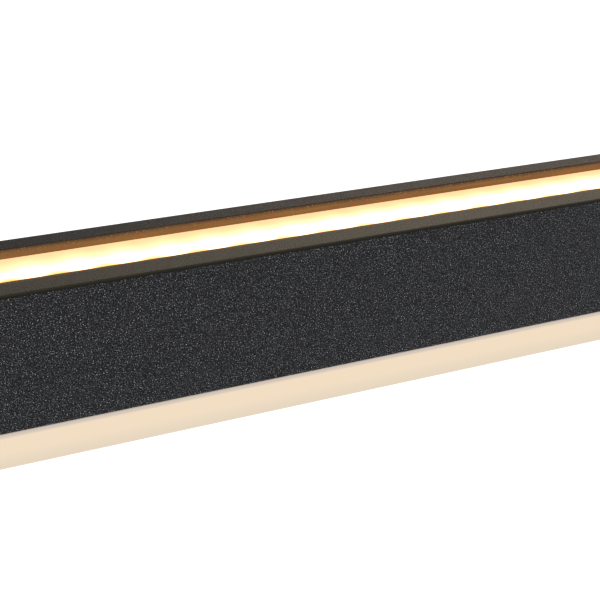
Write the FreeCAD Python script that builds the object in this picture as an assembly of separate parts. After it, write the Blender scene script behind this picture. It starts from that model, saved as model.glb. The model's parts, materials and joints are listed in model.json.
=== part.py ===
"""Vanity light bar: a slim black bar that hangs on a wall canopy and shines up and down.

Frame: millimetres, +Z up, +X along the bar, +Y into the wall. The origin is the centre of
the wall plate's back face, which lies on the wall, so the whole lamp is at Y <= 0.

The bar is one extrusion with three chambers. The top chamber holds a flexible LED strip
under a flat opal cover that slides in below two lips. The middle chamber takes the leads and
the nut plates. The bottom chamber holds a rigid LED board under an opal trough cover that
snaps in and stands proud below the bar. A block neck carries the bar on a sheet steel canopy,
which holds the driver and the terminal block and closes over a plate screwed to the wall.
"""
import FreeCAD, Part
import math
import os

V = FreeCAD.Vector

# ---- extrusion of the bar ----
bar_length = 604.0
bar_depth = 25.0
bar_height = 25.0
bar_wall = 1.5
bar_edge_radius = 0.5
front_lip_width = 5.8
rear_lip_width = 4.9
lip_thickness = 1.8
lip_edge_radius = 0.25
rail_width = 2.0
rail_thickness = 1.0
web_thickness = 1.2
upper_light_depth = 6.0
lower_light_depth = 3.8
port_radius = 2.4
port_slot = 1.0
port_bite = 0.5

# ---- covers ----
upper_cover_thickness = 1.5
slide_clearance = 0.1
trough_drop = 8.1
trough_inset = 0.5
trough_wall = 1.8
trough_corner_radius = 3.0
trough_shoulder_radius = 0.35
leg_thickness = 1.4
leg_gap = 0.4
leg_clearance = 0.1
snap_radius = 0.45
snap_clearance = 0.08

# ---- LED strip and LED board ----
leds_per_metre = 120.0
chip_length = 3.5
chip_width = 2.8
chip_height = 0.7
chip_rim = 0.4
chip_window_depth = 0.14
strip_width = 10.0
strip_thickness = 0.4
tape_thickness = 0.15
board_width = 12.0
board_thickness = 1.0
board_end_gap = 6.0
pad_inset = 2.2
board_screw_count = 5
board_screw_end_gap = 33.0

# ---- end caps ----
cap_thickness = 3.0
cap_edge_radius = 0.6
cap_screw_sink = 0.2
spigot_depth = 3.0
spigot_wall = 1.4
spigot_clearance = 0.15
plug_spigot_depth = 2.5
plug_edge_radius = 0.3

# ---- neck, canopy and wall plate ----
neck_length = 22.0
neck_width = 62.0
neck_height = 18.0
neck_corner_radius = 3.0
neck_screw_spacing = 44.0
canopy_size = 118.0
canopy_depth = 24.0
canopy_wall = 1.2
canopy_corner_radius = 5.0
canopy_edge_radius = 1.6
plate_gap = 4.8
plate_thickness = 1.5
plate_corner_radius = 4.0
ear_width = 20.0
ear_height = 13.0
ear_gap = 0.4
ear_hole_height = 8.0
ear_bend_radius = 1.35
wire_hole_radius = 13.0
box_screw_spacing = 88.9
gang_screw_spacing = 83.3
box_slot_length = 9.0
box_slot_radius = 2.3

# ---- leads ----
sleeve_width = 17.0
sleeve_height = 7.6
sleeve_wall = 0.8
sleeve_flange = 1.5
sleeve_clearance = 0.2
sleeve_reach = 2.0
output_lead_radius = 0.7
output_lead_pitch = 3.0
output_lead_gap = 0.05
output_lead_count = 4
output_lead_bend = 3.0
output_lead_room = 7.0
output_lead_step = 2.0
output_hole_radius = 1.4
mains_lead_radius = 1.0
mains_lead_bend = 3.0
lead_end_reach = 4.0
lead_in_block = 6.0
# (room past the driver's end, drop below the block, height over the driver's middle)
neutral_run = (7.0, 14.0, 2.0)
live_run = (10.0, 8.0, -4.0)

# ---- driver ----
driver_length = 84.0
driver_width = 34.0
driver_height = 17.0
driver_wall = 1.5
driver_edge_radius = 1.5
driver_low_gap = 5.0
tab_length = 7.0
tab_width = 10.0
tab_thickness = 1.5
circuit_thickness = 1.6
circuit_gap = 1.0
stand_radius = 2.0
stand_spacing = 64.0
stand_inset = 4.0
part_room_used = 0.8
core_length = 18.0
core_width = 8.0
winding_length = 12.0
winding_width = 16.0
winding_gap = 0.6
winding_radius = 2.0
# (x, height over the driver's middle, radius)
capacitors = ((-22.0, -5.0, 4.0), (22.0, 5.0, 5.0))
capacitor_edge_radius = 0.6
choke = (28.0, -6.0, 4.5)
choke_bore_radius = 1.8
choke_height = 4.5
# (x, height over the driver's middle) of two opposite corners
switch_corners = ((-15.0, 2.0), (-12.0, 11.0))

# ---- terminal block ----
pole_pitch = 10.0
pole_count = 3
block_width = 17.0
block_height = 14.0
block_x = 20.0
block_z = 38.0
block_end_wall = 1.0
block_edge_radius = 1.0
block_wire_radius = 1.4
block_nut_depth = 3.6
clamp_width = 4.2
clamp_gap = 0.1
clamp_end_gap = 2.6
pole_screw_spacing = 9.5

# ---- fasteners: (shank radius, head radius, head height, hexagon across flats) ----
cap_screw = (1.2, 2.2, 1.2, 1.5)
board_screw = (1.0, 1.9, 0.9, 1.3)
neck_screw = (2.5, 4.6, 2.6, 3.0)
side_screw = (2.0, 3.8, 2.2, 2.5)
ground_screw_size = (2.0, 3.6, 2.2, 2.5)
pole_screw = (1.5, 2.2, 1.6, 1.5)
dome_radius_share = 0.7
recess_depth_share = 0.6
sink_clearance = 0.1
stud_radius = 1.5
stud_spare = 1.5
nut_flats = 5.5
nut_thickness = 2.4
nut_chamfer = 0.35
screw_clearance = 0.25
thread_clearance = 0.03
cap_screw_length = 13.0
board_screw_length = 3.2
neck_screw_tip = 1.5
side_screw_tip = 1.5
washer_radius = 4.4
washer_thickness = 1.2
nut_plate_length = 20.0
nut_plate_thickness = 4.0
tag_thickness = 0.8
tag_radius = 3.6
tag_neck_width = 3.2
tag_neck_overlap = 0.5
barrel_gap = 0.4
barrel_length = 5.0
barrel_floor = 0.6
earth_z = 12.0
ground_screw_place = (-30.0, 30.0)

# ---- places worked out from the sizes above ----
half_length = bar_length / 2
canopy_front = -canopy_depth
bar_back = canopy_front - neck_length
bar_front = bar_back - bar_depth
bar_y = (bar_back + bar_front) / 2
bar_top = bar_height / 2
bar_bottom = -bar_top
cavity_back = bar_back - bar_wall
cavity_front = bar_front + bar_wall
slot_back = bar_back - rear_lip_width
slot_front = bar_front + front_lip_width
lip_underside = bar_top - lip_thickness
groove_floor = lip_underside - upper_cover_thickness - slide_clearance
upper_web_top = groove_floor - upper_light_depth
upper_web_under = upper_web_top - web_thickness
lower_web_under = bar_bottom + lower_light_depth
lower_web_top = lower_web_under + web_thickness
lead_z = (upper_web_under + lower_web_top) / 2
strip_bottom = upper_web_top + tape_thickness
strip_top = strip_bottom + strip_thickness
board_under = lower_web_under - board_thickness
board_length = bar_length - 2 * board_end_gap
trough_bottom = bar_bottom - trough_drop
canopy_inside = canopy_front + canopy_wall
plate_size = canopy_size - 2 * (canopy_wall + plate_gap)
port_reach = port_radius - port_bite
upper_port = (cavity_back - port_reach, upper_web_top + port_reach)
lower_port = (cavity_front + port_reach, lower_web_top + port_reach)
driver_back = canopy_inside + driver_height
sleeve_bore_height = sleeve_height - 2 * sleeve_wall
stack_height = sleeve_bore_height - 2 * output_lead_radius - 2 * output_lead_gap
stack_step = stack_height / (output_lead_count - 1)
driver_bottom = -canopy_size / 2 + canopy_wall + driver_low_gap
driver_z = driver_bottom + driver_width / 2
driver_x = (-driver_length / 2, driver_length / 2)
driver_zs = (driver_bottom, driver_bottom + driver_width)
lead_end_x = driver_length / 2 - driver_wall - lead_end_reach
snap_z = bar_bottom + lower_light_depth / 2
led_pitch = 1000.0 / leds_per_metre
led_count = int((board_length - led_pitch) / led_pitch)
led_places = [(i - (led_count - 1) / 2) * led_pitch for i in range(led_count)]
neck_screw_places = (-neck_screw_spacing / 2, neck_screw_spacing / 2)
stud_places = (-(driver_length + tab_length) / 2, (driver_length + tab_length) / 2)
pole_places = [block_x + (i - (pole_count - 1) / 2) * pole_pitch for i in range(pole_count)]
pole_screw_zs = (block_z - pole_screw_spacing / 2, block_z + pole_screw_spacing / 2)
block_length = pole_count * pole_pitch + 2 * block_end_wall
block_back = canopy_inside + block_height
block_y = canopy_inside + block_height / 2
block_zs = (block_z - block_width / 2, block_z + block_width / 2)
block_nut_seat = block_back - block_nut_depth
block_stud_x = block_x + pole_pitch / 2
earth_x = pole_places[0]
barrel_bottom = earth_z + tag_radius + barrel_gap
barrel_y = canopy_inside + mains_lead_radius + tag_thickness
circuit_top = block_y - mains_lead_radius
circuit_y = circuit_top - circuit_thickness
part_height = part_room_used * (driver_back - 2 * driver_wall - circuit_top)
touching = 1e-3


def box(x, y, z):
    """A block from three (low, high) pairs."""
    low = V(min(x), min(y), min(z))
    return Part.makeBox(max(x) - low.x, max(y) - low.y, max(z) - low.z, low)


def rod(radius, start, end):
    """A round bar between two points."""
    way = V(*end) - V(*start)
    return Part.makeCylinder(radius, way.Length, V(*start), way)


def along_x(half_span):
    """The (low, high) pair of something centred on the lamp's middle plane."""
    return (-half_span, half_span)


def edges_along(shape, axis, test=None):
    """The straight edges of a shape that run along one axis and pass a test of their middle."""
    found = []
    for edge in shape.Edges:
        way = edge.Vertexes[-1].Point - edge.Vertexes[0].Point
        straight = way.Length > 1e-6 and abs(abs(way.normalize().dot(axis)) - 1) < 1e-6
        if straight and (test is None or test(edge.CenterOfMass)):
            found.append(edge)
    return found


def aimed(shape, at, axis):
    """A shape built at the origin along +Z, turned to an axis and moved to a point."""
    moved = shape.copy()
    moved.Placement = FreeCAD.Placement(V(*at), FreeCAD.Rotation(V(0, 0, 1), V(*axis)))
    return moved


def hexagon(flats, height, base=0.0):
    """A hexagonal prism along +Z."""
    reach = flats / math.sqrt(3)
    corners = [V(reach * math.cos(math.radians(60 * i)), reach * math.sin(math.radians(60 * i)), base)
               for i in range(6)]
    return Part.Face(Part.makePolygon(corners + corners[:1])).extrude(V(0, 0, height))


def dome_screw(size, length):
    """A button head screw: its head stands on Z = 0 and its shank runs down to -length."""
    shank, head, height, flats = size
    dome = Part.makeCylinder(head, height)
    rim = [e for e in dome.Edges if e.BoundBox.ZMin > height - touching]
    dome = dome.makeFillet(height * dome_radius_share, rim)
    body = dome.fuse(Part.makeCylinder(shank, length, V(0, 0, -length)))
    return body.cut(hexagon(flats, height, height * (1 - recess_depth_share))).removeSplitter()


def flat_screw(size, length):
    """A countersunk screw: its face is at Z = 0, and it runs down to -length."""
    shank, head, height, flats = size
    cone = Part.makeCone(shank, head, height, V(0, 0, -height))
    body = cone.fuse(Part.makeCylinder(shank, length - height, V(0, 0, -length)))
    return body.cut(hexagon(flats, height, -height * recess_depth_share)).removeSplitter()


def countersunk_hole(size, sink, depth):
    """The hole for a countersunk screw whose face lies a little below a surface at Z = 0."""
    shank, head, height = size[:3]
    mouth = Part.makeCylinder(head + sink_clearance, sink, V(0, 0, -sink))
    cone = Part.makeCone(shank, head + sink_clearance, height, V(0, 0, -sink - height))
    return mouth.fuse(cone).fuse(Part.makeCylinder(shank + screw_clearance, depth, V(0, 0, -depth)))


def nut(bore):
    """A hexagon nut that stands on Z = 0."""
    blank = hexagon(nut_flats, nut_thickness)
    turned = Part.makeCylinder(nut_flats / math.sqrt(3), nut_thickness)
    rim = [e for e in turned.Edges if e.BoundBox.ZMin > nut_thickness - touching]
    turned = turned.makeChamfer(nut_chamfer, rim)
    return blank.common(turned).cut(Part.makeCylinder(bore, nut_thickness))


def obround(width, height, y, z):
    """A bar with an obround section, centred on the middle plane, that runs along Y."""
    straight = width - height
    body = box(along_x(straight / 2), y, (z - height / 2, z + height / 2))
    for side in along_x(straight / 2):
        body = body.fuse(rod(height / 2, (side, min(y), z), (side, max(y), z)))
    return body.removeSplitter()


def lead(points, radius, bend):
    """A wire of round section: straight runs joined by arcs that are tangent to both."""
    path = []
    start = V(*points[0])
    for before, corner, after in zip(points, points[1:], points[2:]):
        at = V(*corner)
        into = (at - V(*before)).normalize()
        out = (V(*after) - at).normalize()
        turn = into.getAngle(out)
        reach = bend * math.tan(turn / 2)
        arc_start = at - into * reach
        arc_end = at + out * reach
        centre_way = (out - into).normalize()
        middle = at + centre_way * (bend / math.cos(turn / 2) - bend)
        path.append(Part.LineSegment(start, arc_start).toShape())
        path.append(Part.Arc(arc_start, middle, arc_end).toShape())
        start = arc_end
    path.append(Part.LineSegment(start, V(*points[-1])).toShape())
    spine = Part.Wire(path)
    first = V(*points[1]) - V(*points[0])
    ring = Part.Wire(Part.Circle(V(*points[0]), first, radius).toShape())
    return spine.makePipeShell([ring], True, False)


def sleeve_hole(ys):
    """The hole that the wire sleeve passes through, between two Y values."""
    return obround(sleeve_width + 2 * sleeve_clearance, sleeve_height + 2 * sleeve_clearance, ys, lead_z)


def neck_screw_holes(ys, clearance):
    """The holes for the neck screws, between two Y values."""
    radius = neck_screw[0] + clearance
    return [rod(radius, (x, ys[0], lead_z), (x, ys[1], lead_z)) for x in neck_screw_places]


# ---- bar ----
def bar_extrusion():
    ends = along_x(half_length)
    body = box(ends, (bar_front, bar_back), (bar_bottom, bar_top))
    body = body.makeFillet(bar_edge_radius, edges_along(body, V(1, 0, 0)))
    inside = (cavity_front, cavity_back)
    body = body.cut(box(ends, (slot_front, slot_back), (lip_underside, bar_top)))
    lip_edges = edges_along(
        body, V(1, 0, 0),
        lambda c: abs(c.z - bar_top) < touching and slot_front - touching < c.y < slot_back + touching)
    body = body.makeFillet(lip_edge_radius, lip_edges)
    body = body.cut(box(ends, inside, (groove_floor, lip_underside)))
    between_rails = (cavity_front + rail_width, cavity_back - rail_width)
    body = body.cut(box(ends, between_rails, (upper_web_top, groove_floor)))
    body = body.cut(box(ends, inside, (upper_web_top, groove_floor - rail_thickness)))
    body = body.cut(box(ends, inside, (lower_web_top, upper_web_under)))
    body = body.cut(box(ends, inside, (bar_bottom, lower_web_under)))
    for wall in inside:
        groove = rod(snap_radius + snap_clearance, (ends[0], wall, snap_z), (ends[1], wall, snap_z))
        body = body.cut(groove)
    for port_y, port_z in (upper_port, lower_port):
        body = body.fuse(rod(port_radius, (ends[0], port_y, port_z), (ends[1], port_y, port_z)))
        body = body.cut(rod(cap_screw[0] + thread_clearance, (ends[0], port_y, port_z),
                            (ends[1], port_y, port_z)))
        inward = bar_y + math.copysign(port_slot, port_y - bar_y)
        body = body.cut(box(ends, (port_y, inward), (port_z - port_slot / 2, port_z + port_slot / 2)))
    through_back = (bar_back, cavity_back)
    body = body.cut([sleeve_hole(through_back)] + neck_screw_holes(through_back, screw_clearance))
    for x, y in output_pad_places("upper"):
        body = body.cut(rod(output_hole_radius, (x, y, upper_web_under), (x, y, upper_web_top)))
    for x, y in output_pad_places("lower"):
        body = body.cut(rod(output_hole_radius, (x, y, lower_web_under), (x, y, lower_web_top)))
    for x in board_screw_places():
        body = body.cut(rod(board_screw[0] + thread_clearance, (x, bar_y, lower_web_under),
                            (x, bar_y, lower_web_top)))
    return body.removeSplitter()


def upper_cover():
    """The flat opal strip that slides in under the two lips."""
    side = slide_clearance
    return box(along_x(half_length), (cavity_front + side, cavity_back - side),
               (groove_floor, groove_floor + upper_cover_thickness))


def lower_cover():
    """The opal trough: a proud body under the bar, and two legs that snap into the bottom chamber."""
    ends = along_x(half_length)
    front = bar_front + trough_inset
    back = bar_back - trough_inset
    body = box(ends, (front, back), (trough_bottom, bar_bottom))
    low = edges_along(body, V(1, 0, 0), lambda c: c.z < trough_bottom + touching)
    body = body.makeFillet(trough_corner_radius, low)
    high = edges_along(body, V(1, 0, 0), lambda c: c.z > bar_bottom - touching)
    body = body.makeFillet(trough_shoulder_radius, high)
    leg_faces = (cavity_front + leg_clearance, cavity_back - leg_clearance)
    leg_top = lower_web_under - leg_gap
    body = body.fuse(box(ends, leg_faces, (bar_bottom, leg_top)))
    for face in leg_faces:
        body = body.fuse(rod(snap_radius, (ends[0], face, snap_z), (ends[1], face, snap_z)))
    body = body.cut(trough_hollow(ends))
    return body.removeSplitter()


def trough_hollow(ends, clearance=0.0):
    """The space inside the trough, less a clearance all round."""
    leg_inside = leg_clearance + leg_thickness + clearance
    low = trough_bottom + trough_wall + clearance
    body_inside = trough_inset + trough_wall + clearance
    lower = box(ends, (bar_front + body_inside, bar_back - body_inside), (low, bar_bottom - trough_wall / 2))
    lower = lower.makeFillet(trough_corner_radius - trough_wall,
                             edges_along(lower, V(1, 0, 0), lambda c: c.z < low + touching))
    throat = box(ends, (cavity_front + leg_inside, cavity_back - leg_inside),
                 (bar_bottom - trough_wall, lower_web_under - clearance))
    return lower.fuse(throat).removeSplitter()


def end_plug(side):
    """The opal plug that closes one end of the trough, flush with the metal end cap."""
    near = side * half_length
    far = side * (half_length + cap_thickness)
    body = box((near, far), (bar_front + trough_inset, bar_back - trough_inset), (trough_bottom, bar_bottom))
    body = body.makeFillet(trough_corner_radius,
                           edges_along(body, V(1, 0, 0), lambda c: c.z < trough_bottom + touching))
    outer = [e for e in body.Edges
             if abs(e.CenterOfMass.x - far) < touching and e.CenterOfMass.z < bar_bottom - touching]
    body = body.makeFillet(plug_edge_radius, outer)
    spigot = trough_hollow((near, near - side * plug_spigot_depth), spigot_clearance)
    spigot = spigot.common(box((near, near - side * plug_spigot_depth), (bar_front, bar_back),
                               (trough_bottom, bar_bottom - trough_wall / 2)))
    return body.fuse(spigot).removeSplitter()


def end_cap(side):
    """The metal plate that closes one end of the extrusion, with a hollow spigot for the middle chamber."""
    near = side * half_length
    far = side * (half_length + cap_thickness)
    body = box((near, far), (bar_front, bar_back), (bar_bottom, bar_top))
    body = body.makeFillet(bar_edge_radius, edges_along(body, V(1, 0, 0)))
    outer = [e for e in body.Edges if abs(e.CenterOfMass.x - far) < touching]
    body = body.makeFillet(cap_edge_radius, outer)
    tip = near - side * spigot_depth
    gap = spigot_clearance
    front = cavity_front + port_reach + port_radius + gap
    back = cavity_back - gap
    low = lower_web_top + gap
    high = upper_web_under - gap
    spigot = box((near, tip), (front, back), (low, high))
    spigot = spigot.cut(box((near, tip), (front + spigot_wall, back - spigot_wall),
                            (low + spigot_wall, high - spigot_wall)))
    body = body.fuse(spigot)
    for port_y, port_z in (upper_port, lower_port):
        body = body.cut(aimed(countersunk_hole(cap_screw, cap_screw_sink, cap_thickness),
                              (far, port_y, port_z), (side, 0, 0)))
    return body.removeSplitter()


def end_cap_screws():
    screws = []
    for side in (-1, 1):
        for port_y, port_z in (upper_port, lower_port):
            at = (side * (half_length + cap_thickness - cap_screw_sink), port_y, port_z)
            screws.append(aimed(flat_screw(cap_screw, cap_screw_length), at, (side, 0, 0)))
    return screws


# ---- light sources ----
def lead_order(which, index):
    """Where an output lead comes among them all, counted from their middle."""
    before = 0 if which == "upper" else 2
    return before + index - (output_lead_count - 1) / 2


def output_pad_places(which):
    """Where the two output leads of one light source are soldered, near its rear edge."""
    half_width = strip_width / 2 if which == "upper" else board_width / 2
    return [(lead_order(which, i) * output_lead_pitch, bar_y + half_width - pad_inset) for i in range(2)]


def board_screw_places():
    """Along the board, each midway between two chips."""
    step = (board_length - 2 * board_screw_end_gap) / (board_screw_count - 1)
    wanted = [(i - (board_screw_count - 1) / 2) * step for i in range(board_screw_count)]
    shift = led_pitch * ((led_count % 2) / 2)
    return [round((x - shift) / led_pitch) * led_pitch + shift for x in wanted]


def strip_tape():
    half = board_length / 2
    body = box(along_x(half), (bar_y - strip_width / 2, bar_y + strip_width / 2),
               (upper_web_top, strip_bottom))
    for x, y in output_pad_places("upper"):
        body = body.cut(rod(output_hole_radius, (x, y, upper_web_top), (x, y, strip_bottom)))
    return body


def upper_strip():
    half = board_length / 2
    body = box(along_x(half), (bar_y - strip_width / 2, bar_y + strip_width / 2), (strip_bottom, strip_top))
    for x, y in output_pad_places("upper"):
        body = body.cut(rod(output_lead_radius, (x, y, strip_bottom), (x, y, strip_top)))
    return body


def lower_board():
    half = board_length / 2
    body = box(along_x(half), (bar_y - board_width / 2, bar_y + board_width / 2),
               (board_under, lower_web_under))
    for x, y in output_pad_places("lower"):
        body = body.cut(rod(output_lead_radius, (x, y, board_under), (x, y, lower_web_under)))
    for x in board_screw_places():
        body = body.cut(rod(board_screw[0] + screw_clearance, (x, bar_y, board_under),
                            (x, bar_y, lower_web_under)))
    return body


def chips(base, outward):
    """A row of LED packages on a board face, each with a shallow window for its phosphor."""
    across = (bar_y - chip_width / 2, bar_y + chip_width / 2)
    top = base + outward * chip_height
    window_floor = top - outward * chip_window_depth
    made = []
    for x in led_places:
        chip = box((x - chip_length / 2, x + chip_length / 2), across, (base, top))
        window = box((x - chip_length / 2 + chip_rim, x + chip_length / 2 - chip_rim),
                     (across[0] + chip_rim, across[1] - chip_rim), (window_floor, top))
        made.append(chip.cut(window))
    return made


def upper_chips():
    return chips(strip_top, 1)


def lower_chips():
    return chips(board_under, -1)


def lower_board_screws():
    return [aimed(dome_screw(board_screw, board_screw_length), (x, bar_y, board_under), (0, 0, -1))
            for x in board_screw_places()]


# ---- neck ----
def neck():
    ends = (canopy_front, bar_back)
    body = box(along_x(neck_width / 2), ends, (lead_z - neck_height / 2, lead_z + neck_height / 2))
    body = body.makeFillet(neck_corner_radius, edges_along(body, V(0, 1, 0)))
    return body.cut([sleeve_hole(ends)] + neck_screw_holes(ends, screw_clearance))


def wire_sleeve():
    """The plastic liner that takes the leads from the canopy through the neck into the bar."""
    start = canopy_inside
    end = cavity_back - sleeve_reach
    body = obround(sleeve_width, sleeve_height, (start, end), lead_z)
    flange = obround(sleeve_width + 2 * sleeve_flange, sleeve_height + 2 * sleeve_flange,
                     (start, start + sleeve_wall), lead_z)
    bore = obround(sleeve_width - 2 * sleeve_wall, sleeve_height - 2 * sleeve_wall,
                   (start + sleeve_wall, end), lead_z)
    return body.fuse(flange).cut(bore).removeSplitter()


def nut_plates():
    """Two plates that slide along the middle chamber, each with a tapped hole for a neck screw."""
    low = lower_web_top + spigot_clearance
    high = upper_web_under - spigot_clearance
    depth = (cavity_back, cavity_back - nut_plate_thickness)
    made = []
    for x, hole in zip(neck_screw_places, neck_screw_holes(depth, thread_clearance)):
        plate = box((x - nut_plate_length / 2, x + nut_plate_length / 2), depth, (low, high))
        made.append(plate.cut(hole))
    return made


def neck_washers():
    ends = (canopy_inside, canopy_inside + washer_thickness)
    made = []
    for x, hole in zip(neck_screw_places, neck_screw_holes(ends, screw_clearance)):
        made.append(rod(washer_radius, (x, ends[0], lead_z), (x, ends[1], lead_z)).cut(hole))
    return made


def neck_screws():
    head = canopy_inside + washer_thickness
    length = head - (cavity_back - nut_plate_thickness) + neck_screw_tip
    return [aimed(dome_screw(neck_screw, length), (x, head, lead_z), (0, 1, 0))
            for x in neck_screw_places]


# ---- canopy ----
def canopy_block(half, front, radius, edge_radius):
    """A block with rounded corners and a rounded front rim, open to the wall."""
    body = box(along_x(half), (front, 0), (-half, half))
    body = body.makeFillet(radius, edges_along(body, V(0, 1, 0)))
    rim = [e for e in body.Edges if abs(e.CenterOfMass.y - front) < touching]
    return body.makeFillet(edge_radius, rim)


def canopy_cover():
    half = canopy_size / 2
    body = canopy_block(half, canopy_front, canopy_corner_radius, canopy_edge_radius)
    body = body.cut(canopy_block(half - canopy_wall, canopy_inside, canopy_corner_radius - canopy_wall,
                                 canopy_edge_radius - canopy_wall))
    through = (canopy_front, canopy_inside)
    body = body.cut([sleeve_hole(through)] + neck_screw_holes(through, screw_clearance))
    for side in (-1, 1):
        body = body.cut(rod(side_screw[0] + screw_clearance, (side * half, -ear_hole_height, 0),
                            (side * (half - canopy_wall), -ear_hole_height, 0)))
    for x, z, height in weld_studs():
        body = body.fuse(rod(stud_radius, (x, canopy_inside, z), (x, canopy_inside + height, z)))
    return body.removeSplitter()


def weld_studs():
    """(x, z, height) of each threaded stud welded inside the canopy."""
    spare = nut_thickness + stud_spare
    studs = [(x, driver_z, tab_thickness + spare) for x in stud_places]
    studs.append((block_stud_x, block_z, block_nut_seat - canopy_inside + spare))
    studs.append((earth_x, earth_z, tag_thickness + spare))
    return studs


def side_screws():
    half = canopy_size / 2
    length = canopy_wall + ear_gap + plate_thickness + side_screw_tip
    return [aimed(dome_screw(side_screw, length), (side * half, -ear_hole_height, 0), (side, 0, 0))
            for side in (-1, 1)]


def wall_plate():
    half = plate_size / 2
    body = box(along_x(half), (-plate_thickness, 0), (-half, half))
    body = body.makeFillet(plate_corner_radius, edges_along(body, V(0, 1, 0)))
    ear_face = canopy_size / 2 - canopy_wall - ear_gap
    for side in (-1, 1):
        outer = side * ear_face
        inner = side * (ear_face - plate_thickness)
        across = (-ear_width / 2, ear_width / 2)
        tab = box((side * (half - plate_thickness), outer), (-plate_thickness, 0), across)
        ear = box((inner, outer), (-ear_height, 0), across)
        folded = ear.fuse(tab).removeSplitter()
        bend = edges_along(folded, V(0, 0, 1), lambda c: abs(c.x - outer) < touching and abs(c.y) < touching)
        folded = folded.makeFillet(ear_bend_radius, bend)
        ear_tips = edges_along(folded, V(1, 0, 0), lambda c: abs(c.y + ear_height) < touching)
        folded = folded.makeFillet(plate_corner_radius, ear_tips)
        body = body.fuse(folded)
        body = body.cut(rod(side_screw[0] + thread_clearance, (outer, -ear_hole_height, 0),
                            (inner, -ear_hole_height, 0)))
    through = (-plate_thickness, 0)
    body = body.cut(rod(wire_hole_radius, (0, through[0], 0), (0, through[1], 0)))
    reach = box_slot_length / 2 - box_slot_radius
    for sign in (-1, 1):
        for centre_x, centre_z, way in ((sign * box_screw_spacing / 2, 0, (1, 0)),
                                        (0, sign * gang_screw_spacing / 2, (0, 1))):
            body = body.cut(slot(centre_x, centre_z, way, reach, through))
    ground_x, ground_z = ground_screw_place
    body = body.cut(rod(ground_screw_size[0] + thread_clearance, (ground_x, through[0], ground_z),
                        (ground_x, through[1], ground_z)))
    return body.removeSplitter()


def slot(x, z, way, reach, y):
    """A screw slot through the wall plate that runs along X or Z."""
    ends = [(x + sign * reach * way[0], z + sign * reach * way[1]) for sign in (-1, 1)]
    side = (box_slot_radius * way[1], box_slot_radius * way[0])
    body = box((ends[0][0] - side[0], ends[1][0] + side[0]), y, (ends[0][1] - side[1], ends[1][1] + side[1]))
    for end_x, end_z in ends:
        body = body.fuse(rod(box_slot_radius, (end_x, y[0], end_z), (end_x, y[1], end_z)))
    return body.removeSplitter()


def ground_screw():
    at = (ground_screw_place[0], -plate_thickness, ground_screw_place[1])
    return aimed(dome_screw(ground_screw_size, plate_thickness), at, (0, -1, 0))


# ---- driver ----
def driver_case():
    """The driver's tray: a floor against the canopy, four walls, and a mounting tab at each end."""
    body = box(driver_x, (canopy_inside, driver_back - driver_wall), driver_zs)
    body = body.makeFillet(driver_edge_radius, edges_along(body, V(0, 1, 0)))
    inside_x = along_x(driver_length / 2 - driver_wall)
    inside_z = (driver_zs[0] + driver_wall, driver_zs[1] - driver_wall)
    body = body.cut(box(inside_x, (canopy_inside + driver_wall, driver_back), inside_z))
    for side, stud_x in zip((-1, 1), stud_places):
        tab = box((side * driver_length / 2, side * (driver_length / 2 + tab_length)),
                  (canopy_inside, canopy_inside + tab_thickness),
                  (driver_z - tab_width / 2, driver_z + tab_width / 2))
        tips = edges_along(tab, V(0, 1, 0), lambda c: abs(c.x) > driver_length / 2 + touching)
        tab = tab.makeFillet(tab_thickness, tips)
        body = body.fuse(tab)
        body = body.cut(rod(stud_radius + screw_clearance, (stud_x, canopy_inside, driver_z),
                            (stud_x, canopy_inside + tab_thickness, driver_z)))
    for end, radius in driver_lead_ends():
        side = math.copysign(1, end[0])
        body = body.cut(rod(radius + screw_clearance, (side * driver_length / 2, end[1], end[2]),
                            (side * (driver_length / 2 - driver_wall), end[1], end[2])))
    for x in along_x(stand_spacing / 2):
        for z in (inside_z[0] + stand_inset, inside_z[1] - stand_inset):
            body = body.fuse(rod(stand_radius, (x, canopy_inside + driver_wall, z), (x, circuit_y, z)))
    return body.removeSplitter()


def driver_lid():
    """The driver's cover, with a rim that drops inside the tray's walls."""
    body = box(driver_x, (driver_back - driver_wall, driver_back), driver_zs)
    body = body.makeFillet(driver_edge_radius, edges_along(body, V(0, 1, 0)))
    gap = driver_wall + spigot_clearance
    rim = box(along_x(driver_length / 2 - gap), (driver_back - 2 * driver_wall, driver_back - driver_wall),
              (driver_zs[0] + gap, driver_zs[1] - gap))
    core = box(along_x(driver_length / 2 - gap - driver_wall),
               (driver_back - 2 * driver_wall, driver_back - driver_wall),
               (driver_zs[0] + gap + driver_wall, driver_zs[1] - gap - driver_wall))
    return body.fuse(rim.cut(core)).removeSplitter()


def driver_circuit():
    inset = driver_wall + circuit_gap
    return box(along_x(driver_length / 2 - inset), (circuit_y, circuit_y + circuit_thickness),
               (driver_zs[0] + inset, driver_zs[1] - inset))


def driver_transformer():
    """A ferrite core with the taped winding round its middle."""
    top = circuit_top + part_height
    core = box(along_x(core_length / 2), (circuit_top, top),
               (driver_z - core_width / 2, driver_z + core_width / 2))
    winding = box(along_x(winding_length / 2), (circuit_top + winding_gap, top - winding_gap),
                  (driver_z - winding_width / 2, driver_z + winding_width / 2))
    winding = winding.makeFillet(winding_radius, edges_along(winding, V(1, 0, 0)))
    return core.fuse(winding).removeSplitter()


def driver_parts():
    """The larger parts on the circuit: two electrolytic cans, a mains choke and a switching device."""
    top = circuit_top + part_height
    made = []
    for x, over_middle, radius in capacitors:
        z = driver_z + over_middle
        can = rod(radius, (x, circuit_top, z), (x, top, z))
        rim = [e for e in can.Edges if e.BoundBox.YMin > top - touching]
        made.append(can.makeFillet(capacitor_edge_radius, rim))
    choke_x, choke_over_middle, choke_radius = choke
    ends = [(choke_x, y, driver_z + choke_over_middle) for y in (circuit_top, circuit_top + choke_height)]
    made.append(rod(choke_radius, *ends).cut(rod(choke_bore_radius, *ends)))
    (low_x, low_z), (high_x, high_z) = switch_corners
    made.append(box((low_x, high_x), (circuit_top, top), (driver_z + low_z, driver_z + high_z)))
    return made


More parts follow.
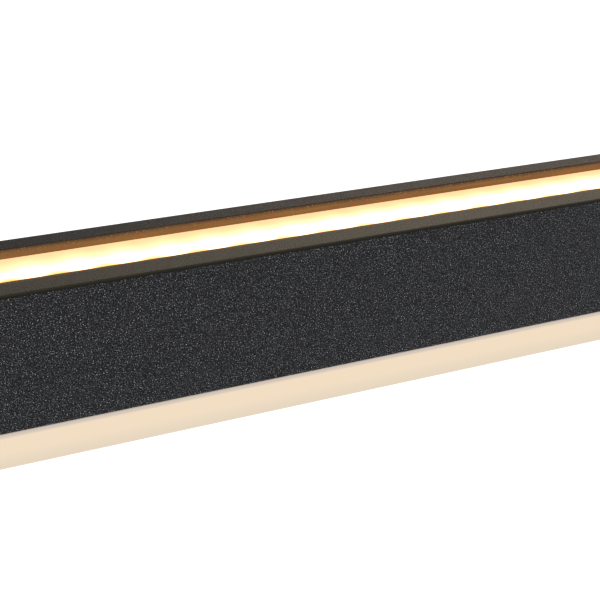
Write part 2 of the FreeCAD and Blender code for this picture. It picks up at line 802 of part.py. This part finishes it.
def driver_nuts():
    seat = canopy_inside + tab_thickness
    return [aimed(nut(stud_radius + thread_clearance), (x, seat, driver_z), (0, 1, 0)) for x in stud_places]


# ---- terminal block and earth ----
def clamp_box(x, gap):
    """The brass tube's outline in one pole, with a gap on every side but the one it rests on."""
    half = clamp_width / 2
    return box((x - half - gap, x + half + gap), (block_y - half, block_y + half + gap),
               (block_zs[0] + clamp_end_gap - gap, block_zs[1] - clamp_end_gap + gap))


def terminal_block():
    """A moulded block with one passage for wires and two screw wells for each pole."""
    block_xs = (block_x - block_length / 2, block_x + block_length / 2)
    body = box(block_xs, (canopy_inside, block_back), block_zs)
    body = body.makeFillet(block_edge_radius, edges_along(body, V(0, 0, 1)))
    for x in pole_places:
        body = body.cut(clamp_box(x, clamp_gap))
        body = body.cut(rod(block_wire_radius, (x, block_y, block_zs[0]), (x, block_y, block_zs[1])))
        for z in pole_screw_zs:
            body = body.cut(rod(pole_screw[1] + screw_clearance, (x, block_y, z), (x, block_back, z)))
    body = body.cut(rod(stud_radius + screw_clearance, (block_stud_x, canopy_inside, block_z),
                        (block_stud_x, block_back, block_z)))
    body = body.cut(rod(nut_flats / math.sqrt(3) + screw_clearance, (block_stud_x, block_nut_seat, block_z),
                        (block_stud_x, block_back, block_z)))
    return body.removeSplitter()


def pole_clamps():
    """The brass tube of each pole, bored for the wires and tapped for its two screws."""
    made = []
    for x in pole_places:
        tube = clamp_box(x, 0)
        tube = tube.cut(rod(block_wire_radius, (x, block_y, block_zs[0]), (x, block_y, block_zs[1])))
        for z in pole_screw_zs:
            tube = tube.cut(rod(pole_screw[0] + thread_clearance, (x, block_y, z),
                                (x, block_y + clamp_width / 2, z)))
        made.append(tube)
    return made


def pole_screws():
    head = block_y + clamp_width / 2
    length = clamp_width / 2 - mains_lead_radius
    return [aimed(dome_screw(pole_screw, length), (x, head, z), (0, 1, 0))
            for x in pole_places for z in pole_screw_zs]


def block_nut():
    return aimed(nut(stud_radius + thread_clearance), (block_stud_x, block_nut_seat, block_z), (0, 1, 0))


def earth_tag():
    """The ring tag of the earth lead: a ring on the stud and a crimped barrel."""
    ends = (canopy_inside, canopy_inside + tag_thickness)
    ring = rod(tag_radius, (earth_x, ends[0], earth_z), (earth_x, ends[1], earth_z))
    strap = box((earth_x - tag_neck_width / 2, earth_x + tag_neck_width / 2), ends,
                (earth_z, barrel_bottom + tag_neck_overlap))
    barrel = rod(mains_lead_radius + tag_thickness, (earth_x, barrel_y, barrel_bottom),
                 (earth_x, barrel_y, barrel_bottom + barrel_length))
    body = ring.fuse(strap).fuse(barrel)
    body = body.cut(rod(mains_lead_radius, (earth_x, barrel_y, barrel_bottom + barrel_floor),
                        (earth_x, barrel_y, barrel_bottom + barrel_length)))
    return body.cut(rod(stud_radius + screw_clearance, (earth_x, ends[0], earth_z),
                        (earth_x, ends[1], earth_z))).removeSplitter()


def earth_nut():
    seat = canopy_inside + tag_thickness
    return aimed(nut(stud_radius + thread_clearance), (earth_x, seat, earth_z), (0, 1, 0))


# ---- leads ----
def mains_route(x, run):
    """From a pole of the terminal block, down past the neck, to the circuit in the driver's right end."""
    room, drop, over_middle = run
    x_out = driver_length / 2 + room
    z_turn = block_zs[0] - drop
    z_driver = driver_z + over_middle
    return [(x, block_y, block_zs[0] + lead_in_block), (x, block_y, z_turn), (x_out, block_y, z_turn),
            (x_out, block_y, z_driver), (lead_end_x, block_y, z_driver)]


def mains_routes():
    return mains_route(pole_places[1], neutral_run), mains_route(pole_places[2], live_run)


def output_route(which, index):
    """From the circuit in the driver's left end through the neck into the bar, to a solder pad."""
    order = lead_order(which, index)
    x, pad_y = output_pad_places(which)[index]
    y = circuit_top + output_lead_radius
    x_out = -(driver_length / 2 + output_lead_room + output_lead_step * order)
    z_driver = driver_z - output_lead_step * order
    z_neck = lead_z + stack_step * order
    z_end = strip_top if which == "upper" else board_under
    return [(-lead_end_x, y, z_driver), (x_out, y, z_driver), (x_out, y, z_neck), (x, y, z_neck),
            (x, pad_y, z_neck), (x, pad_y, z_end)]


def driver_lead_ends():
    """(end point, radius) of every lead that ends in the driver."""
    mains = [(points[-1], mains_lead_radius) for points in mains_routes()]
    outputs = [(output_route(which, i)[0], output_lead_radius)
               for which in ("upper", "lower") for i in range(2)]
    return mains + outputs


def mains_lead(which):
    return lead(mains_routes()[which], mains_lead_radius, mains_lead_bend)


def output_lead(which, index):
    return lead(output_route(which, index), output_lead_radius, output_lead_bend)


def earth_lead():
    """From the earth pole down to the ring tag on the canopy."""
    middle = (block_zs[0] + barrel_bottom + barrel_length) / 2
    rise = (block_y - barrel_y) / 2
    points = [(earth_x, block_y, block_zs[0] + lead_in_block), (earth_x, block_y, middle + rise),
              (earth_x, barrel_y, middle), (earth_x, barrel_y, barrel_bottom + barrel_floor)]
    return lead(points, mains_lead_radius, mains_lead_bend)


NODES = {
    "bar_extrusion": bar_extrusion,
    "upper_cover": upper_cover,
    "lower_cover": lower_cover,
    "cover_plug_left": lambda: end_plug(-1),
    "cover_plug_right": lambda: end_plug(1),
    "end_cap_left": lambda: end_cap(-1),
    "end_cap_right": lambda: end_cap(1),
    "end_cap_screws": end_cap_screws,
    "upper_strip_tape": strip_tape,
    "upper_led_strip": upper_strip,
    "upper_led_chips": upper_chips,
    "lower_led_board": lower_board,
    "lower_led_chips": lower_chips,
    "lower_board_screws": lower_board_screws,
    "neck": neck,
    "neck_screws": neck_screws,
    "neck_washers": neck_washers,
    "nut_plates": nut_plates,
    "wire_sleeve": wire_sleeve,
    "canopy_cover": canopy_cover,
    "canopy_side_screws": side_screws,
    "wall_plate": wall_plate,
    "ground_screw": ground_screw,
    "driver_case": driver_case,
    "driver_lid": driver_lid,
    "driver_circuit_board": driver_circuit,
    "driver_transformer": driver_transformer,
    "driver_components": driver_parts,
    "driver_nuts": driver_nuts,
    "terminal_block": terminal_block,
    "terminal_clamps": pole_clamps,
    "terminal_screws": pole_screws,
    "terminal_block_nut": block_nut,
    "earth_tag": earth_tag,
    "earth_nut": earth_nut,
    "earth_lead": earth_lead,
    "neutral_lead": lambda: mains_lead(0),
    "live_lead": lambda: mains_lead(1),
    "upper_lead_positive": lambda: output_lead("upper", 0),
    "upper_lead_negative": lambda: output_lead("upper", 1),
    "lower_lead_positive": lambda: output_lead("lower", 0),
    "lower_lead_negative": lambda: output_lead("lower", 1),
}


def main():
    os.makedirs("parts", exist_ok=True)
    for name, make in NODES.items():
        made = make()
        solids = made if isinstance(made, list) else made.Solids
        for solid in solids:
            for piece in solid.Solids:
                if not piece.isValid() or piece.Volume <= 0:
                    raise ValueError(f"{name} has a faulty solid")
        shape = Part.makeCompound([piece for solid in solids for piece in solid.Solids])
        shape.exportStep(os.path.join("parts", name + ".step"))
        print(f"{name}: {len(shape.Solids)} solid(s), {shape.Volume:.1f} mm3")


main()
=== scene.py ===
"""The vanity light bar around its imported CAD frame: materials, glow, studio and camera.

Everything is in metres in the row frame: +X along the bar, +Y into the wall, +Z up.
"""
import json
import math

import bpy
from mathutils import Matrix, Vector


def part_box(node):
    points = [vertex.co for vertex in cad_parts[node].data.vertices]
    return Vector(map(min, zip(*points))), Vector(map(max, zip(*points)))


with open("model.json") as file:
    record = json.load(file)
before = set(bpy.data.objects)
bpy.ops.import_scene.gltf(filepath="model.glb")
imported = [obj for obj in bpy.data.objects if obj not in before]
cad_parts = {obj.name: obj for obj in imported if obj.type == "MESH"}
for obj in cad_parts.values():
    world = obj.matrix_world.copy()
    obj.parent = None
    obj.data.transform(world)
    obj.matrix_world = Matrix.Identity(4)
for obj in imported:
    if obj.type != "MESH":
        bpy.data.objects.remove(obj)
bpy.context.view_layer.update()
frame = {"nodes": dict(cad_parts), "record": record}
NODES = frame["nodes"]
MM = 0.001

# ---- the bar's own lines, from the frame and the bar's section ----
BAR_LOW, BAR_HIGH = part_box("bar_extrusion")
TROUGH_LOW, TROUGH_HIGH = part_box("lower_cover")
BAR_MIDDLE_Y = (BAR_LOW.y + BAR_HIGH.y) / 2      # the LEDs stand on this line
LED_PITCH = 1.0 / 120.0
FRONT_LIP = 5.8 * MM                             # width of the lip in front of the slot
REAR_LIP = 4.9 * MM
LIP_DEPTH = 1.8 * MM                             # from the bar's top down to the upper cover

# ---- camera ----
CAMERA_OUT = 171.5 * MM       # in front of the bar's face
CAMERA_UP = 74.5 * MM         # above the bar's top
CAMERA_ALONG = 56.75 * MM     # to the right of the middle of the bar
CAMERA_DOWN = 24.28           # degrees below the horizon
CAMERA_TURN = 23.7            # degrees to the right of the wall's normal
CLIP_START = 10.0 * MM
FOCAL_LENGTH = 69.0           # both in camera millimetres
SENSOR_WIDTH = 36.0

# ---- studio ----
FLOOR_SIZE = 30.0
FLOOR_Z = -1.3
FLOOR_GREY = (0.95, 0.95, 0.95)
FLOOR_ROUGHNESS = 0.8
FLOOR_GLOW = 0.8
WORLD_GLOW = 0.45
WHITE = (1.0, 1.0, 1.0)
WARM_WHITE = (1.0, 0.78, 0.56)
LIGHT_AIM_X = 0.1

# ---- noise: nearly all its values lie in this band ----
NOISE_BAND = (0.3, 0.7)

# ---- the black sand coat, with painted shade in its grain's hollows, painted light on its peaks and painted glints (all colours are linear) ----
# painted shade in the grain's hollows
COAT_PAINTED_HOLLOW_SHADE = (0.002, 0.002, 0.0025)
COAT_MIDDLE = (0.012, 0.012, 0.0135)
# painted light on the grain's peaks
COAT_PAINTED_PEAK_LIGHT = (0.040, 0.042, 0.046)
# painted glints on the coat's fine specks
COAT_PAINTED_GLINT = (0.41, 0.425, 0.44)
COAT_MIDDLE_STOP = 0.55
COAT_IOR = 1.45
COAT_SPECULAR = 0.1
GRAIN_SIZE = 0.24 * MM
GRAIN_HEIGHT = 0.10 * MM
HOLLOW_ROUGHNESS = 0.60       # in the grain's hollows
PEAK_ROUGHNESS = 0.38
GLINT_SIZE = 0.20 * MM
GLINT_BAND = (0.62, 0.74)     # only the noise's peaks make a painted glint
BLACK = (0.0, 0.0, 0.0)

# ---- painted light on the coat, in and beside the upper slot ----
# painted light from the strip: on the slot walls, spilling over the front lip, and on the front lip
SLOT_PAINTED_LIGHT = (0.235, 0.102, 0.025)
SPILL_PAINTED_LIGHT = (0.085, 0.042, 0.013)
LIP_PAINTED_LIGHT = (0.026, 0.023, 0.014)
SPILL_WIDTH = 1.2 * MM        # how far the painted brown light spills over the front lip
EDGE_SHADE_WIDTH = 0.5 * MM          # painted shade: the dark line along the face's top edge
SOFT_STEP = 0.1 * MM          # the width over which one zone turns into the next
FACE_START = 0.15 * MM        # the face's zone, where the painted glints show, starts this far below the bar's top
WALL_NEAR = 0.02 * MM         # the slot walls' painted light fades out between these two depths in the wall
WALL_FAR = 0.15 * MM
COVER_MARGIN = 0.3 * MM       # the walls' painted light starts this far below the upper cover
MOUTH_DEPTH = 0.9 * MM        # the walls' painted light gets dimmer over this depth, towards the slot's mouth
MOUTH_LEVEL = 0.25
LIP_ZONE = 0.6 * MM           # depth of the front lip's painted light
CAP_FADE = 1.0 * MM           # the painted light fades out over this length at the bar's ends
# streaks in the walls' painted light
STREAK_SIZE = 1.6 * MM
STREAK_STRETCH = (0.12, 1.0, 2.5)
STREAK_LEVELS = (0.82, 1.12)

# ---- opal acrylic ----
ACRYLIC_IOR = 1.49
SATIN_SIZE = 0.25 * MM
SATIN_HEIGHT = 0.004 * MM
TROUGH_BASE = (0.14, 0.13, 0.115)
TROUGH_ROUGHNESS = 0.6
TROUGH_SPECULAR = 0.1
TROUGH_SHADES = (             # distance below the body in mm, and the light's colour there
    (0.0, (0.42, 0.36, 0.32)), (0.7, (0.52, 0.43, 0.35)), (1.1, (0.72, 0.57, 0.405)),
    (3.6, (0.72, 0.57, 0.405)), (5.6, (0.64, 0.53, 0.39)), (8.1, (0.54, 0.44, 0.33)),
)
PLUG_LEVEL = 0.9              # the end plugs' light, as a share of the trough's
STRIP_BASE = (0.20, 0.19, 0.17)
STRIP_ROUGHNESS = 0.38
STRIP_GLOW = (                # distance from the line of LEDs in mm, and the light's strength there
    (0.0, 7.0), (1.0, 5.0), (2.2, 2.95), (4.0, 1.7), (5.75, 1.39), (7.0, 1.25),
)
GLOW_WARM = (1.0, 0.52, 0.235)
GLOW_FRINGE = (1.0, 0.42, 0.06)
RIPPLE = 0.55 * MM            # the glow is this much narrower between two LEDs
FRINGE_RIPPLE = 0.9 * MM      # and so is the yellow fringe on its front edge
FRINGE_RISE = (1.7 * MM, 2.9 * MM)    # distances ahead of the LEDs where the fringe starts and is full
FRINGE_FALL = (3.2 * MM, 4.4 * MM)    # and where it ends, under the front lip
FRINGE_LEVEL = 0.6

# ---- plastics and metals ----
PLASTIC_SHADE_SIZE = 3.0 * MM
PLASTIC_DARKER = 0.9
PLASTIC_SWING = 0.05          # how far the roughness varies
TEXTURE_SIZE = 0.3 * MM
METAL_GRAIN_SIZE = 0.15 * MM
METAL_GRAIN_HEIGHT = 0.002 * MM
METAL_DARKER = 0.85
METAL_SWING = 0.06
SPANGLE_SIZE = 3.0 * MM
SPANGLE_DARK = (0.36, 0.37, 0.38)
SPANGLE_LIGHT = (0.45, 0.46, 0.47)
SPANGLE_ROUGHNESS = (0.34, 0.50)
ZINC_GRAIN_SIZE = 0.2 * MM
ZINC_GRAIN_HEIGHT = 0.003 * MM


# ---- node helpers ----
class Tree:
    """A material's node tree, with short calls for the nodes that this script uses."""

    def __init__(self, name):
        self.material = bpy.data.materials.new(name)
        self.material.use_nodes = True
        self.nodes = self.material.node_tree.nodes
        self.links = self.material.node_tree.links
        self.nodes.clear()
        self.output = self.nodes.new("ShaderNodeOutputMaterial")
        self.shader = self.nodes.new("ShaderNodeBsdfPrincipled")
        self.links.new(self.shader.outputs[0], self.output.inputs["Surface"])
        self.place = self.nodes.new("ShaderNodeTexCoord").outputs["Object"]

    def set(self, **values):
        """Sets the shader's own sockets. An underscore in a name stands for a space."""
        for name, value in values.items():
            if isinstance(value, tuple):
                value = (*value, 1.0)
            self.shader.inputs[name.replace("_", " ")].default_value = value

    def feed(self, output, name):
        """Links a node's output to one of the shader's sockets."""
        self.links.new(output, self.shader.inputs[name])

    def axis(self, letter):
        """One coordinate of the surface point, in metres."""
        node = self.nodes.new("ShaderNodeSeparateXYZ")
        self.links.new(self.place, node.inputs[0])
        return node.outputs[letter]

    def noise(self, size, detail=2.0, stretch=None):
        """Noise whose lumps are about `size` metres across, from 0 to 1."""
        node = self.nodes.new("ShaderNodeTexNoise")
        node.inputs["Scale"].default_value = 1.0 / size
        node.inputs["Detail"].default_value = detail
        place = self.place
        if stretch:
            mapping = self.nodes.new("ShaderNodeMapping")
            mapping.inputs["Scale"].default_value = stretch
            self.links.new(place, mapping.inputs["Vector"])
            place = mapping.outputs[0]
        self.links.new(place, node.inputs["Vector"])
        return node.outputs["Fac"]

    def math(self, operation, *values, clamp=False):
        """A math node. Each value is a number or another node's output."""
        node = self.nodes.new("ShaderNodeMath")
        node.operation = operation
        node.use_clamp = clamp
        for socket, value in zip(node.inputs, values):
            if isinstance(value, (int, float)):
                socket.default_value = value
            else:
                self.links.new(value, socket)
        return node.outputs[0]

    def span(self, value, low, high, to_low=0.0, to_high=1.0):
        """Maps a value from one range to another, held at both ends."""
        node = self.nodes.new("ShaderNodeMapRange")
        self.links.new(value, node.inputs["Value"])
        limits = {"From Min": low, "From Max": high, "To Min": to_low, "To Max": to_high}
        for name, number in limits.items():
            node.inputs[name].default_value = number
        return node.outputs["Result"]

    def ramp(self, value, stops):
        """Colours at given values from 0 to 1."""
        node = self.nodes.new("ShaderNodeValToRGB")
        band = node.color_ramp.elements
        while len(band) > 1:
            band.remove(band[-1])
        band[0].position = stops[0][0]
        band[0].color = (*stops[0][1], 1.0)
        for position, colour in stops[1:]:
            band.new(position).color = (*colour, 1.0)
        self.links.new(value, node.inputs["Fac"])
        return node.outputs["Color"]

    def mix(self, factor, colour, other):
        """A colour output mixed towards a fixed colour."""
        node = self.nodes.new("ShaderNodeMix")
        node.data_type = "RGBA"
        slots = {socket.identifier: socket for socket in node.inputs}
        self.links.new(factor, slots["Factor_Float"])
        self.links.new(colour, slots["A_Color"])
        slots["B_Color"].default_value = (*other, 1.0)
        return next(socket for socket in node.outputs if socket.identifier == "Result_Color")

    def bump(self, height, depth):
        """A bump of `depth` metres for a height that runs from 0 to 1."""
        node = self.nodes.new("ShaderNodeBump")
        node.inputs["Strength"].default_value = 1.0
        node.inputs["Distance"].default_value = depth
        self.links.new(height, node.inputs["Height"])
        self.feed(node.outputs["Normal"], "Normal")


# ---- materials ----
def sand_coat(tree, glint_share=None, shadow=None):
    """Black powder coat with a fine sand texture.

    The second argument scales the painted glints on the bright specks and the third paints shade over the
    coat, each from 0 to 1. The grain's colour is painted shade in its hollows and painted light on its
    peaks.
    """
    grain = tree.noise(GRAIN_SIZE)
    # painted glints: bright base colour on the peaks of a fine noise
    glint = tree.span(tree.noise(GLINT_SIZE, detail=1.0), *GLINT_BAND)
    if glint_share is not None:
        glint = tree.math("MULTIPLY", glint, glint_share)
    # the grain's colour follows its height: painted shade in the hollows, painted light on the peaks
    height = tree.span(grain, *NOISE_BAND)
    stops = [(0.0, COAT_PAINTED_HOLLOW_SHADE), (COAT_MIDDLE_STOP, COAT_MIDDLE), (1.0, COAT_PAINTED_PEAK_LIGHT)]
    colour = tree.mix(glint, tree.ramp(height, stops), COAT_PAINTED_GLINT)
    if shadow is not None:
        colour = tree.mix(shadow, colour, BLACK)
    tree.feed(colour, "Base Color")
    tree.feed(tree.span(grain, *NOISE_BAND, HOLLOW_ROUGHNESS, PEAK_ROUGHNESS), "Roughness")
    tree.bump(height, GRAIN_HEIGHT)
    tree.set(IOR=COAT_IOR, Specular_IOR_Level=COAT_SPECULAR)


def powder_coat():
    """The bar's coat. Beside the lit strip the slot's walls carry the strip's light as a painted brown glow,
    and the front lip a little painted light.
    """
    tree = Tree("powder_coat")
    along, across, up = (tree.axis(letter) for letter in "XYZ")
    top = BAR_HIGH.z

    slot_front = BAR_LOW.y + FRONT_LIP
    slot_back = BAR_HIGH.y - REAR_LIP
    slot_half = (slot_back - slot_front) / 2
    # painted light from the strip on the slot walls, streaked and dimmer towards the slot's mouth
    from_middle = tree.math("ABSOLUTE", tree.math("SUBTRACT", across, (slot_front + slot_back) / 2))
    in_slot = tree.span(from_middle, slot_half + WALL_FAR, slot_half + WALL_NEAR)
    wall_foot = top - LIP_DEPTH - COVER_MARGIN
    above_cover = tree.span(up, wall_foot, wall_foot + SOFT_STEP)
    below_mouth = tree.span(up, top - SOFT_STEP, top - MOUTH_DEPTH, MOUTH_LEVEL, 1.0)
    streaks = tree.noise(STREAK_SIZE, detail=3.0, stretch=STREAK_STRETCH)
    streaked = tree.math("MULTIPLY", below_mouth, tree.span(streaks, *NOISE_BAND, *STREAK_LEVELS))
    painted_wall_light = tree.math("MULTIPLY", tree.math("MULTIPLY", in_slot, above_cover), streaked)

    # painted light on the front lip, brown next to the slot and warm further out
    ahead = tree.math("SUBTRACT", slot_front, across)
    on_top = tree.span(up, top - LIP_ZONE, top - SOFT_STEP)
    painted_lip_light = tree.math("MULTIPLY", on_top, tree.math("GREATER_THAN", ahead, 0.0))
    light = tree.ramp(tree.span(ahead, 0.0, SPILL_WIDTH),
                      [(0.0, SLOT_PAINTED_LIGHT), (0.5, SPILL_PAINTED_LIGHT), (1.0, LIP_PAINTED_LIGHT)])
    inside_caps = tree.span(tree.math("ABSOLUTE", along), BAR_HIGH.x, BAR_HIGH.x - CAP_FADE)
    painted_glow = tree.math("MULTIPLY", tree.math("MAXIMUM", painted_wall_light, painted_lip_light), inside_caps)

    # painted shade: a dark line along the face's top edge
    near_front = tree.math("LESS_THAN", across, BAR_LOW.y + EDGE_SHADE_WIDTH)
    near_top = tree.span(up, top - EDGE_SHADE_WIDTH - SOFT_STEP, top - EDGE_SHADE_WIDTH)
    painted_edge_shade = tree.math("MULTIPLY", near_front, near_top)
    on_face = tree.span(up, top - FACE_START, top - FACE_START - SOFT_STEP)
    sand_coat(tree, tree.math("SUBTRACT", on_face, painted_wall_light, clamp=True), painted_edge_shade)
    tree.feed(light, "Emission Color")
    tree.feed(painted_glow, "Emission Strength")
    return tree.material


def coated_steel():
    """The same coat on the canopy, neck and end caps."""
    tree = Tree("coated_steel")
    # the coat's painted glints, and the painted shade and light of its grain, come with it
    sand_coat(tree)
    return tree.material


def opal(name, colour, roughness):
    """Opal acrylic with a satin face."""
    tree = Tree(name)
    tree.set(Base_Color=colour, Roughness=roughness, IOR=ACRYLIC_IOR)
    tree.bump(tree.noise(SATIN_SIZE, detail=1.0), SATIN_HEIGHT)
    return tree


def opal_lit(name="opal_lit", level=1.0):
    """The trough: evenly lit from inside, a little dimmer at its shoulder and round its lower edge."""
    tree = opal(name, TROUGH_BASE, TROUGH_ROUGHNESS)
    tree.set(Specular_IOR_Level=TROUGH_SPECULAR)
    below = tree.math("SUBTRACT", BAR_LOW.z, tree.axis("Z"))
    drop = BAR_LOW.z - TROUGH_LOW.z
    stops = [(mm * MM / drop, shade) for mm, shade in TROUGH_SHADES]
    tree.feed(tree.ramp(tree.span(below, 0.0, drop), stops), "Emission Color")
    tree.set(Emission_Strength=level)
    return tree.material


def opal_acrylic():
    """The trough's end plugs: lit through from inside, a little dimmer than the trough."""
    return opal_lit("opal_acrylic", PLUG_LEVEL)


def opal_strip():
    """The upper cover: brightest over the line of LEDs, warm and dimmer towards both lips."""
    tree = opal("opal_strip", STRIP_BASE, STRIP_ROUGHNESS)
    ahead = tree.math("SUBTRACT", BAR_MIDDLE_Y, tree.axis("Y"))
    wave = tree.math("COSINE", tree.math("MULTIPLY", tree.axis("X"), 2 * math.pi / LED_PITCH))

    away = tree.math("ADD", tree.math("ABSOLUTE", ahead), tree.math("MULTIPLY", wave, RIPPLE))
    strongest = STRIP_GLOW[0][1]
    edge = STRIP_GLOW[-1][0]
    stops = [(mm / edge, (level / strongest,) * 3) for mm, level in STRIP_GLOW]
    strength = tree.ramp(tree.span(away, 0.0, edge * MM), stops)

    reach = tree.math("ADD", ahead, tree.math("MULTIPLY", wave, FRINGE_RIPPLE))
    fringe = tree.math("MULTIPLY", tree.span(reach, *FRINGE_RISE), tree.span(ahead, *FRINGE_FALL, 1.0, 0.0))
    level = tree.span(fringe, 0.0, 1.0, strongest, strongest * FRINGE_LEVEL)
    tree.feed(tree.ramp(fringe, [(0.0, GLOW_WARM), (1.0, GLOW_FRINGE)]), "Emission Color")
    tree.feed(tree.math("MULTIPLY", strength, level), "Emission Strength")
    return tree.material


def plastic(name, colour, roughness, texture=0.0):
    """Moulded plastic with a faint unevenness. `texture` is the depth of its surface in mm."""
    tree = Tree(name)
    shade = tree.noise(PLASTIC_SHADE_SIZE, detail=4.0)
    low, high = NOISE_BAND
    darker = tuple(c * PLASTIC_DARKER for c in colour)
    tree.feed(tree.ramp(shade, [(low, darker), (high, colour)]), "Base Color")
    tree.feed(tree.span(shade, low, high, roughness - PLASTIC_SWING, roughness + PLASTIC_SWING), "Roughness")
    if texture:
        tree.bump(tree.noise(TEXTURE_SIZE), texture * MM)
    tree.set(IOR=ACRYLIC_IOR)
    return tree.material


def metal(name, colour, roughness):
    """Bare or plated metal."""
    tree = Tree(name)
    grain = tree.noise(METAL_GRAIN_SIZE, detail=3.0)
    low, high = NOISE_BAND
    darker = tuple(c * METAL_DARKER for c in colour)
    tree.feed(tree.ramp(grain, [(low, darker), (high, colour)]), "Base Color")
    tree.feed(tree.span(grain, low, high, roughness - METAL_SWING, roughness + METAL_SWING), "Roughness")
    tree.bump(grain, METAL_GRAIN_HEIGHT)
    tree.set(Metallic=1.0)
    return tree.material


def galvanised():
    """Zinc-dipped sheet with its crystal spangle."""
    tree = Tree("galvanised")
    spangle = tree.nodes.new("ShaderNodeTexVoronoi")
    spangle.inputs["Scale"].default_value = 1.0 / SPANGLE_SIZE
    tree.links.new(tree.place, spangle.inputs["Vector"])
    shade = tree.nodes.new("ShaderNodeSeparateColor")
    tree.links.new(spangle.outputs["Color"], shade.inputs[0])
    tree.feed(tree.ramp(shade.outputs[0], [(0.0, SPANGLE_DARK), (1.0, SPANGLE_LIGHT)]), "Base Color")
    tree.feed(tree.span(shade.outputs[1], 0.0, 1.0, *SPANGLE_ROUGHNESS), "Roughness")
    tree.bump(tree.noise(ZINC_GRAIN_SIZE), ZINC_GRAIN_HEIGHT)
    tree.set(Metallic=1.0)
    return tree.material


MATERIALS = {
    "powder_coat": powder_coat,
    "coated_steel": coated_steel,
    "opal_acrylic": opal_acrylic,
    "opal_lit": opal_lit,
    "opal_strip": opal_strip,
    "white_board": lambda: plastic("white_board", (0.80, 0.80, 0.77), 0.35),
    "flexible_board": lambda: plastic("flexible_board", (0.82, 0.82, 0.79), 0.40),
    "tape": lambda: plastic("tape", (0.70, 0.70, 0.66), 0.60),
    "phosphor": lambda: plastic("phosphor", (0.85, 0.66, 0.20), 0.35),
    "zinc_steel": lambda: metal("zinc_steel", (0.62, 0.62, 0.61), 0.32),
    "black_screw": lambda: metal("black_screw", (0.045, 0.045, 0.048), 0.40),
    "galvanised": galvanised,
    "green_screw": lambda: metal("green_screw", (0.03, 0.26, 0.08), 0.38),
    "white_plastic": lambda: plastic("white_plastic", (0.74, 0.74, 0.72), 0.45, texture=0.01),
    "clear_nylon": lambda: plastic("clear_nylon", (0.62, 0.60, 0.53), 0.40),
    "circuit": lambda: plastic("circuit", (0.03, 0.16, 0.06), 0.35),
    "ferrite": lambda: plastic("ferrite", (0.05, 0.045, 0.045), 0.55, texture=0.02),
    "component": lambda: plastic("component", (0.03, 0.035, 0.07), 0.40),
    "brass": lambda: metal("brass", (0.72, 0.50, 0.20), 0.30),
    "tinned": lambda: metal("tinned", (0.70, 0.70, 0.68), 0.35),
    "wire_black": lambda: plastic("wire_black", (0.02, 0.02, 0.02), 0.45),
    "wire_white": lambda: plastic("wire_white", (0.75, 0.75, 0.73), 0.45),
    "wire_green": lambda: plastic("wire_green", (0.02, 0.22, 0.05), 0.45),
    "wire_red": lambda: plastic("wire_red", (0.45, 0.02, 0.02), 0.45),
}


def finish_nodes():
    """Gives every CAD node the material of its slot."""
    made = {}
    for entry in frame["record"]["subparts"]:
        slot_name = entry["material_slot"]
        if slot_name not in made:
            made[slot_name] = MATERIALS[slot_name]()
        for slot in NODES[entry["node"]].material_slots:
            slot.material = made[slot_name]


# ---- studio ----
def studio_floor():
    """A plain pale floor well below the lamp."""
    bpy.ops.mesh.primitive_plane_add(size=FLOOR_SIZE, location=(0.0, 0.0, FLOOR_Z))
    floor = bpy.context.object
    floor.name = "floor"
    tree = Tree("floor")
    tree.set(Base_Color=FLOOR_GREY, Roughness=FLOOR_ROUGHNESS)
    tree.set(Emission_Color=WHITE, Emission_Strength=FLOOR_GLOW)
    floor.data.materials.append(tree.material)


def area_light(name, place, size, power, colour=WHITE):
    """A rectangular lamp, `power` watts, aimed at the bar."""
    data = bpy.data.lights.new(name, "AREA")
    data.shape = "RECTANGLE"
    data.size, data.size_y = size
    data.energy = power
    data.color = colour
    lamp = bpy.data.objects.new(name, data)
    lamp.location = place
    aim = Vector((LIGHT_AIM_X, BAR_MIDDLE_Y, 0.0))
    lamp.rotation_euler = (aim - Vector(place)).to_track_quat("-Z", "Y").to_euler()
    bpy.context.collection.objects.link(lamp)


def studio_lights():
    """A small key from the front left, and a large warm light from the rear right."""
    area_light("key", (-0.9, -1.3, 1.3), (0.35, 0.35), 22.0)
    area_light("warm_back", (1.3, 1.6, 0.9), (1.2, 0.8), 17.0, WARM_WHITE)


def studio_world():
    """Even light from all around."""
    world = bpy.data.worlds.new("studio")
    world.use_nodes = True
    sky = world.node_tree.nodes["Background"]
    sky.inputs["Color"].default_value = (*WHITE, 1.0)
    sky.inputs["Strength"].default_value = WORLD_GLOW
    bpy.context.scene.world = world


def studio_camera():
    """A close view from the front, above and to the left of what it looks at."""
    data = bpy.data.cameras.new("camera")
    data.lens = FOCAL_LENGTH
    data.sensor_width = SENSOR_WIDTH
    data.clip_start = CLIP_START
    camera = bpy.data.objects.new("camera", data)
    camera.location = (CAMERA_ALONG, BAR_LOW.y - CAMERA_OUT, BAR_HIGH.z + CAMERA_UP)
    camera.rotation_euler = (math.radians(90.0 - CAMERA_DOWN), 0.0, math.radians(-CAMERA_TURN))
    bpy.context.collection.objects.link(camera)
    bpy.context.scene.camera = camera


finish_nodes()
studio_floor()
studio_lights()
studio_world()
studio_camera()
bpy.context.scene.view_settings.view_transform = "Standard"
